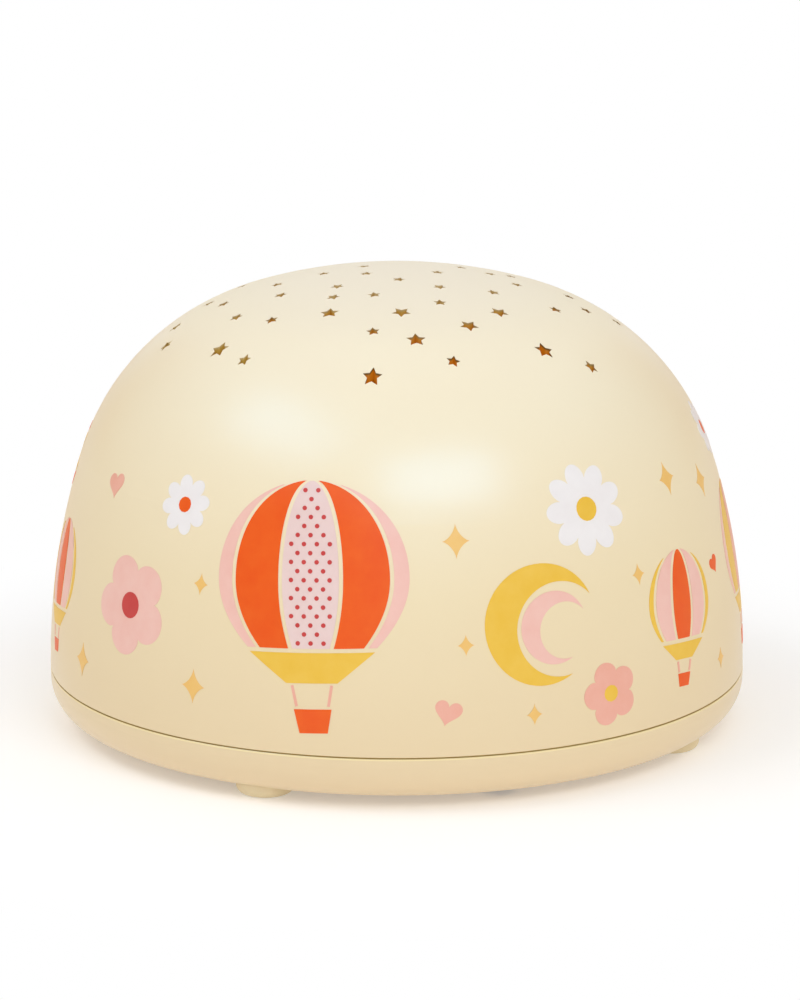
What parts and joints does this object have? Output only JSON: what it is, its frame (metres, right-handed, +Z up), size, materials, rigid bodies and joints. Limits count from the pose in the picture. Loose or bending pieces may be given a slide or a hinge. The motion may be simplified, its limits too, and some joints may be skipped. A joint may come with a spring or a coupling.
{
  "type": "star night light projector",
  "caption": "Domed bedside night light that throws stars through star-shaped holes, with a battery door underneath and a push button at the back.",
  "frame": {"origin": "on the ground under the middle of the lamp, at the bottom centre of its box", "axes": "+Z up; -Y to the front; +Y to the back, where the power button is; +X to the right seen from the front"},
  "size_m": [0.156, 0.156, 0.1016],
  "materials": {
    "shell": "cream ABS, satin",
    "foot": "soft cream elastomer",
    "box": "light grey moulded plastic",
    "door": "cream ABS, satin",
    "steel": "zinc-plated steel",
    "contact": "nickel-plated spring steel",
    "cell": "plain printed sleeve",
    "board": "green solder mask",
    "chip": "black epoxy",
    "can": "sleeved can",
    "column": "white ABS",
    "lens_red": "tinted clear epoxy",
    "lens_green": "tinted clear epoxy",
    "lens_blue": "tinted clear epoxy",
    "button": "orange ABS, satin",
    "switch": "black nylon",
    "lead_red": "PVC insulation",
    "lead_black": "PVC insulation",
    "lead_white": "PVC insulation"
  },
  "bodies": {
    "lamp": {"dome_shell": "shell", "base_shell": "shell", "foot_front_left": "foot", "foot_front_right": "foot", "foot_rear_left": "foot", "foot_rear_right": "foot", "case_screws": "steel", "battery_box": "box", "box_screws": "steel", "cell_front": "cell", "cell_middle": "cell", "cell_rear": "cell", "contact_positive": "contact", "contact_negative": "contact", "contact_bridge_right": "contact", "contact_bridge_left": "contact", "main_board": "board", "board_screws": "steel", "controller_chip": "chip", "capacitor": "can", "resistors": "chip", "transistors": "chip", "lead_socket": "column", "light_column": "column", "column_screws": "steel", "lamp_board": "board", "lamp_board_screws": "steel", "led_red": "lens_red", "led_green": "lens_green", "led_blue": "lens_blue", "lamp_leads": "lead_white", "switch_body": "switch", "switch_board": "board", "switch_board_screws": "steel", "battery_lead_red": "lead_red", "battery_lead_black": "lead_black", "switch_leads": "lead_white"},
    "battery_door": {"battery_door": "door"},
    "door_screw_left": {"door_screw_left": "steel"},
    "door_screw_right": {"door_screw_right": "steel"},
    "power_button": {"power_button": "button", "switch_plunger": "switch"}
  },
  "joints": [
    {"name": "button_press", "type": "slide", "parent": "lamp", "child": "power_button", "axis": [0, -1, 0], "range_m": [0, 0.0008], "stiffness_N_per_m": 800},
    {"name": "door_lift_off", "type": "slide", "parent": "lamp", "child": "battery_door", "axis": [0, 0, -1], "range_m": [0, 0.015]},
    {"name": "screw_left_turn", "type": "hinge", "parent": "battery_door", "child": "door_screw_left", "pos_m": [-0.036, 0, 0.0024], "axis": [0, 0, 1], "continuous": true},
    {"name": "screw_right_turn", "type": "hinge", "parent": "battery_door", "child": "door_screw_right", "pos_m": [0.036, 0, 0.0024], "axis": [0, 0, 1], "continuous": true}
  ]
}
